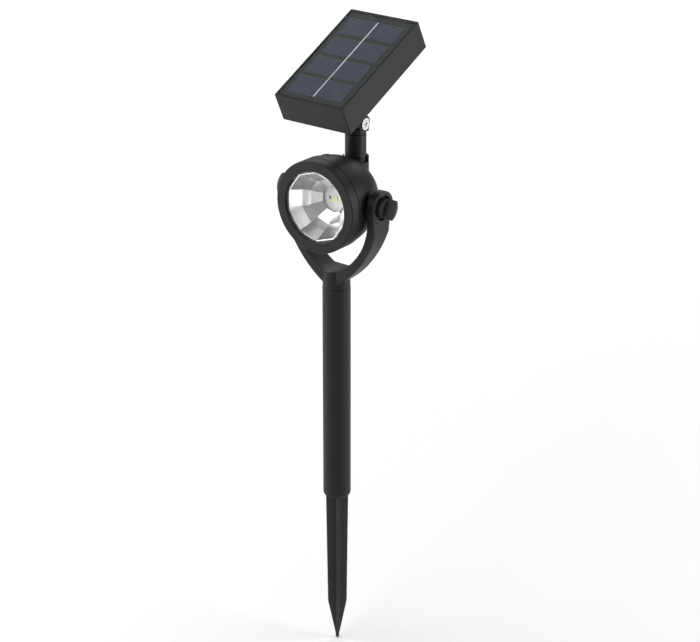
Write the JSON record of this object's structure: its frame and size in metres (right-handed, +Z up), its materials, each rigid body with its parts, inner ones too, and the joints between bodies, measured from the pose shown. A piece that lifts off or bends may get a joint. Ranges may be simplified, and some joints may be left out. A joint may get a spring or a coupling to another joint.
{
  "type": "solar garden spotlight",
  "caption": "Solar spotlight on a ground spike, with a tilting lamp in a forked yoke, clamp knobs and a panel on a swivelling riser.",
  "frame": {"origin": "on the pole's axis at the ground line, where the pole ends and the spike begins", "axes": "+Z up along the pole, the lamp shines towards -Y at rest, +X towards the right-hand clamp knob as seen from the front"},
  "size_m": [0.1026, 0.0956, 0.4657],
  "materials": {
    "black_plastic": "satin moulded black",
    "black_rubber": "matt black",
    "clear_lens": "clear polished",
    "reflector_plating": "bright vacuum plated, faceted",
    "white_board": "white solder mask",
    "led_phosphor": "yellow phosphor",
    "plated_steel": "zinc plated",
    "brass_insert": "turned",
    "cell_backsheet": "dark laminate",
    "silicon_cell": "dark blue silicon with fine fingers",
    "tinned_ribbon": "tinned ribbon",
    "clear_window": "clear resin, satin",
    "battery_wrap": "plain blue sleeve",
    "green_board": "green solder mask",
    "chip_black": "moulded chips",
    "wire_jacket": "red jacket"
  },
  "bodies": {
    "ground": {"spike": "black_plastic", "pole": "black_plastic", "yoke": "black_plastic"},
    "head": {"lamp_housing": "black_plastic", "bezel": "black_plastic", "bezel_seal": "black_rubber", "lens": "clear_lens", "lens_gasket": "black_rubber", "reflector": "reflector_plating", "led_board": "white_board", "led_chip": "led_phosphor", "led_resistor": "chip_black", "led_board_screws": "plated_steel", "lamp_wires": "wire_jacket", "switch_body": "black_rubber", "pivot_inserts": "brass_insert", "pivot_washers": "black_rubber", "riser_stop_screw": "plated_steel"},
    "switch": {"switch_button": "black_rubber"},
    "riser": {"riser_tube": "black_plastic", "hinge_fork": "black_plastic", "hinge_screw": "plated_steel", "hinge_nut": "plated_steel", "riser_wires": "wire_jacket"},
    "panel": {"panel_case": "black_plastic", "panel_backsheet": "cell_backsheet", "solar_cells": "silicon_cell", "busbar": "tinned_ribbon", "panel_window": "clear_window", "back_cover": "black_plastic", "cover_screws": "plated_steel", "battery": "battery_wrap", "battery_holder": "black_plastic", "battery_contacts": "plated_steel", "control_board": "green_board", "board_parts": "chip_black", "panel_wires": "wire_jacket"},
    "right_clamp": {"right_knob": "black_plastic", "right_stud": "plated_steel", "right_knob_washer": "plated_steel"},
    "left_clamp": {"left_knob": "black_plastic", "left_stud": "plated_steel", "left_knob_washer": "plated_steel"}
  },
  "joints": [
    {"name": "head_tilt", "type": "hinge", "parent": "ground", "child": "head", "pos_m": [0, 0, 0.229], "axis": [1, 0, 0], "range_deg": [-60, 30]},
    {"name": "riser_swivel", "type": "hinge", "parent": "head", "child": "riser", "pos_m": [0, 0.022, 0.25], "axis": [0, 0, 1], "range_deg": [-90, 90]},
    {"name": "panel_tilt", "type": "hinge", "parent": "riser", "child": "panel", "pos_m": [0, 0.0232, 0.2767], "axis": [1, 0, 0], "range_deg": [-25, 24]},
    {"name": "switch_press", "type": "slide", "parent": "head", "child": "switch", "axis": [0.1908, 0, -0.9816], "range_m": [0, 0.0008], "stiffness_N_per_m": 1200, "springref_m": -0.0004},
    {"name": "right_clamp_turn", "type": "hinge", "parent": "head", "child": "right_clamp", "pos_m": [0.04, 0, 0.229], "axis": [1, 0, 0], "range_deg": [-360, 0]},
    {"name": "left_clamp_turn", "type": "hinge", "parent": "head", "child": "left_clamp", "pos_m": [-0.04, 0, 0.229], "axis": [-1, 0, 0], "range_deg": [-360, 0]}
  ]
}
